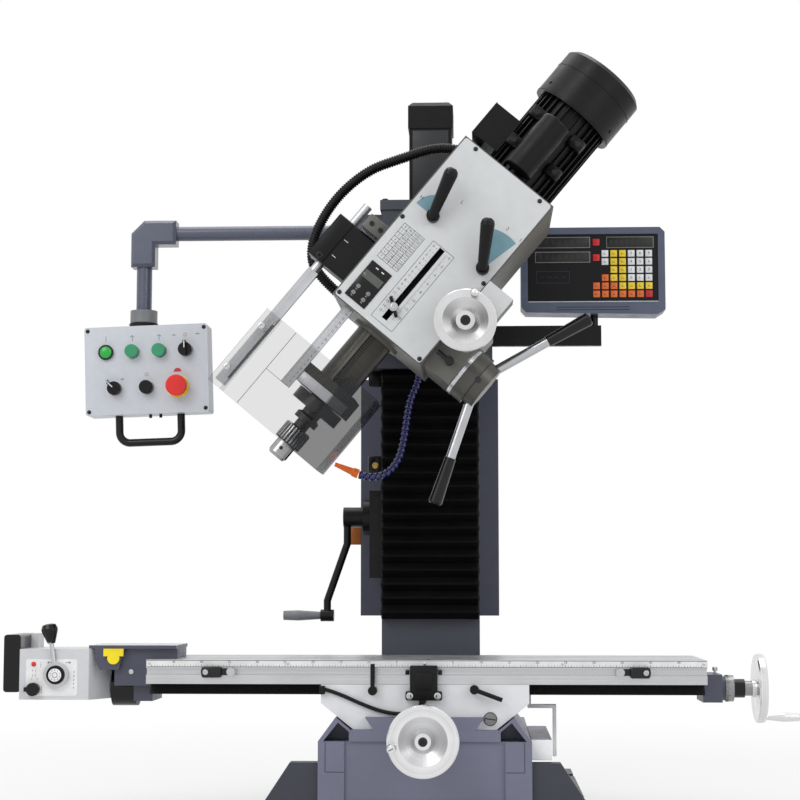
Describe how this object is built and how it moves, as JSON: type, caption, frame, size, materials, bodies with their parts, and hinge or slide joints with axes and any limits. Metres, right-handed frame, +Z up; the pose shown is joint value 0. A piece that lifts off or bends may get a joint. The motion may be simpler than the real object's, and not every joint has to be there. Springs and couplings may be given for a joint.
{
  "type": "mill drill",
  "caption": "Bench mill drill with a tilting geared head, quill and clear chuck guard on a dovetail column, a cross-slide table with power feed, a swinging control box and a digital readout.",
  "frame": {"origin": "centre of the foot's four bolt holes, on the floor", "axes": "+X to the operator's right along the table, +Y away from the operator, +Z up"},
  "size_m": [1.4511, 0.8681, 1.4386],
  "materials": {
    "base_paint": "satin blue-grey paint",
    "column_paint": "satin dark grey paint",
    "saddle_paint": "satin white paint",
    "head_paint": "satin grey paint",
    "ground_iron": "ground",
    "plate_paint": "light grey paint",
    "cabinet_paint": "dark grey paint",
    "steel": "turned",
    "dark_steel": "blackened",
    "bright_aluminium": "polished",
    "black_aluminium": "black paint",
    "black_paint": "black paint",
    "feed_paint": "silver grey paint",
    "black_plastic": "satin",
    "green_plastic": "satin",
    "red_plastic": "satin",
    "clear_plastic": "clear",
    "bellows_cloth": "coated cloth",
    "blue_plastic": "moulded",
    "orange_plastic": "moulded",
    "readout_case": "satin"
  },
  "bodies": {
    "base": {"base_casting": "base_paint", "column": "column_paint", "column_cap": "column_paint", "z_lift_motor": "black_aluminium", "electrical_cabinet": "cabinet_paint", "way_bellows": "bellows_cloth", "dro_arm": "cabinet_paint", "crank_housing": "black_paint", "y_scale": "bright_aluminium"},
    "saddle": {"saddle": "saddle_paint", "limit_switch": "black_plastic"},
    "lock_left": {"lock_lever_left": "dark_steel"},
    "lock_right": {"lock_lever_right": "dark_steel"},
    "table": {"table": "ground_iron", "end_brackets": "saddle_paint", "feed_housing": "feed_paint", "feed_trip_switch": "black_aluminium", "trip_dogs": "dark_steel"},
    "feed_lever": {"feed_lever": "black_plastic"},
    "feed_dial": {"feed_speed_dial": "black_plastic"},
    "feed_power": {"feed_power_knob": "black_plastic"},
    "x_screw": {"x_leadscrew": "steel", "x_handwheel": "bright_aluminium"},
    "y_screw": {"y_handwheel": "bright_aluminium"},
    "z_screw": {"z_leadscrew": "steel"},
    "z_crank": {"z_crank": "dark_steel"},
    "carriage": {"z_carriage": "column_paint", "coolant_hose": "blue_plastic", "coolant_nozzle": "orange_plastic"},
    "head": {"head_casting": "head_paint", "front_plate": "plate_paint", "motor_frame": "black_aluminium", "fan_cover": "black_paint", "motor_boxes": "black_plastic", "guard_switch_box": "black_plastic", "motor_conduit": "black_plastic"},
    "quill": {"quill": "dark_steel", "depth_scale": "steel"},
    "spindle": {"spindle": "dark_steel", "drill_chuck": "steel"},
    "drive": {"drive_gear": "steel"},
    "rotor": {"motor_rotor": "steel"},
    "feed_handle": {"feed_hub": "dark_steel", "feed_grips": "black_plastic"},
    "fine_feed": {"fine_feed_wheel": "bright_aluminium"},
    "range_lever": {"range_lever": "black_plastic"},
    "speed_lever": {"speed_lever": "black_plastic"},
    "quill_lock": {"quill_lock": "dark_steel"},
    "guard": {"guard_rod": "bright_aluminium", "guard_shield": "clear_plastic"},
    "control_arm": {"control_arm": "cabinet_paint"},
    "control_box": {"control_box": "plate_paint", "box_handle": "black_plastic"},
    "forward_button": {"forward_button": "green_plastic"},
    "reverse_button": {"reverse_button": "green_plastic"},
    "stop_button": {"stop_button": "black_plastic"},
    "emergency_stop": {"emergency_stop": "red_plastic"},
    "pump_selector": {"pump_selector": "black_plastic"},
    "mode_selector": {"mode_selector": "black_plastic"},
    "dro": {"dro_display": "readout_case"}
  },
  "joints": [
    {"name": "y_wheel_turn", "type": "hinge", "parent": "base", "child": "y_screw", "pos_m": [0, -0.2, 0.156], "axis": [0, 1, 0], "range_deg": [-5760, 5760]},
    {"name": "saddle_y", "type": "slide", "parent": "base", "child": "saddle", "axis": [0, 1, 0], "range_m": [-0.08, 0.08]},
    {"name": "lock_left_turn", "type": "hinge", "parent": "saddle", "child": "lock_left", "pos_m": [-0.092, -0.28, 0.237], "axis": [0, 1, 0], "range_deg": [-30, 30]},
    {"name": "lock_right_turn", "type": "hinge", "parent": "saddle", "child": "lock_right", "pos_m": [0.088, -0.28, 0.239], "axis": [0, 1, 0], "range_deg": [-30, 30]},
    {"name": "table_x", "type": "slide", "parent": "saddle", "child": "table", "axis": [1, 0, 0], "range_m": [-0.28, 0.28]},
    {"name": "x_wheel_turn", "type": "hinge", "parent": "table", "child": "x_screw", "pos_m": [0.5, -0.15, 0.235], "axis": [1, 0, 0], "range_deg": [-20160, 20160]},
    {"name": "feed_lever_turn", "type": "hinge", "parent": "table", "child": "feed_lever", "pos_m": [-0.67, -0.24, 0.261], "axis": [0, 1, 0], "range_deg": [-18, 18]},
    {"name": "feed_dial_turn", "type": "hinge", "parent": "table", "child": "feed_dial", "pos_m": [-0.67, -0.24, 0.261], "axis": [0, 1, 0], "range_deg": [-135, 135]},
    {"name": "feed_power_turn", "type": "hinge", "parent": "table", "child": "feed_power", "pos_m": [-0.711, -0.24, 0.235], "axis": [0, 1, 0], "range_deg": [0, 90]},
    {"name": "z_crank_turn", "type": "hinge", "parent": "base", "child": "z_crank", "pos_m": [-0.15, 0.2, 0.561], "axis": [1, 0, 0], "range_deg": [0, 23400]},
    {"name": "head_z", "type": "slide", "parent": "base", "child": "carriage", "axis": [0, 0, -1], "range_m": [0, 0.26], "deforming": ["way_bellows"]},
    {"name": "z_screw_turn", "type": "hinge", "parent": "base", "child": "z_screw", "pos_m": [0, 0.2, 0.7], "axis": [0, 0, 1], "range_deg": [-23400, 0]},
    {"name": "head_tilt", "type": "hinge", "parent": "carriage", "child": "head", "pos_m": [0, 0.02, 1], "axis": [0, 1, 0], "range_deg": [-85, 5]},
    {"name": "quill_feed", "type": "hinge", "parent": "head", "child": "feed_handle", "pos_m": [-0.06107, -0.198, 0.92723], "axis": [0.766, 0, -0.6428], "range_deg": [-57, 420]},
    {"name": "quill_slide", "type": "slide", "parent": "head", "child": "quill", "axis": [-0.6428, 0, -0.766], "range_m": [-0.11, 0.015]},
    {"name": "rotor_turn", "type": "hinge", "parent": "head", "child": "rotor", "pos_m": [0.16989, -0.10975, 1.1838], "axis": [0.6428, 0, 0.766], "continuous": true},
    {"name": "drive_turn", "type": "hinge", "parent": "head", "child": "drive", "pos_m": [0.10285, -0.15, 1.12257], "axis": [0.6428, 0, 0.766], "continuous": true},
    {"name": "spindle_turn", "type": "hinge", "parent": "quill", "child": "spindle", "pos_m": [-0.12856, -0.15, 0.84679], "axis": [0.6428, 0, 0.766], "continuous": true},
    {"name": "fine_feed_turn", "type": "hinge", "parent": "head", "child": "fine_feed", "pos_m": [0.07491, -0.3, 0.89015], "axis": [0, 1, 0], "continuous": true},
    {"name": "range_lever_turn", "type": "hinge", "parent": "head", "child": "range_lever", "pos_m": [0.01667, -0.3, 1.0877], "axis": [0, 1, 0], "range_deg": [-20, 20]},
    {"name": "speed_lever_turn", "type": "hinge", "parent": "head", "child": "speed_lever", "pos_m": [0.10581, -0.3, 0.99137], "axis": [0, 1, 0], "range_deg": [-20, 20]},
    {"name": "quill_lock_turn", "type": "hinge", "parent": "head", "child": "quill_lock", "pos_m": [0.04499, -0.262, 0.82648], "axis": [0, 1, 0], "range_deg": [-30, 30]},
    {"name": "guard_swing", "type": "hinge", "parent": "head", "child": "guard", "pos_m": [-0.12487, -0.2, 1.10477], "axis": [-0.6428, 0, -0.766], "range_deg": [0, 100]},
    {"name": "arm_swing", "type": "hinge", "parent": "base", "child": "control_arm", "pos_m": [-0.132, 0.18, 1.15], "axis": [0, 0, 1], "range_deg": [-60, 15]},
    {"name": "box_swivel", "type": "hinge", "parent": "control_arm", "child": "control_box", "pos_m": [-0.596, 0.18, 0.98], "axis": [0, 0, 1], "range_deg": [-60, 60]},
    {"name": "forward_press", "type": "slide", "parent": "control_box", "child": "forward_button", "axis": [0, 1, 0], "range_m": [0, 0.004], "stiffness_N_per_m": 400},
    {"name": "reverse_press", "type": "slide", "parent": "control_box", "child": "reverse_button", "axis": [0, 1, 0], "range_m": [0, 0.004], "stiffness_N_per_m": 400},
    {"name": "stop_press", "type": "slide", "parent": "control_box", "child": "stop_button", "axis": [0, 1, 0], "range_m": [0, 0.004], "stiffness_N_per_m": 400},
    {"name": "emergency_press", "type": "slide", "parent": "control_box", "child": "emergency_stop", "axis": [0, 1, 0], "range_m": [0, 0.004]},
    {"name": "pump_select", "type": "hinge", "parent": "control_box", "child": "pump_selector", "pos_m": [-0.50271, 0.145, 0.90323], "axis": [0, 1, 0], "range_deg": [-45, 45]},
    {"name": "mode_select", "type": "hinge", "parent": "control_box", "child": "mode_selector", "pos_m": [-0.6475, 0.145, 0.82312], "axis": [0, 1, 0], "range_deg": [0, 90]},
    {"name": "dro_swivel", "type": "hinge", "parent": "base", "child": "dro", "pos_m": [0.336, 0.202, 0.97], "axis": [0, 0, 1], "range_deg": [-30, 30]}
  ],
  "couplings": [
    {"joint": "y_wheel_turn", "follows": "saddle_y", "rad_per_m": 1256.6},
    {"joint": "x_wheel_turn", "follows": "table_x", "rad_per_m": 1256.6},
    {"joint": "z_crank_turn", "follows": "head_z", "rad_per_m": 1570.8},
    {"joint": "z_screw_turn", "follows": "head_z", "rad_per_m": -1570.8},
    {"joint": "quill_slide", "follows": "quill_feed", "m_per_rad": -0.015},
    {"joint": "drive_turn", "follows": "rotor_turn", "ratio": -0.4},
    {"joint": "spindle_turn", "follows": "rotor_turn", "ratio": -0.4}
  ]
}
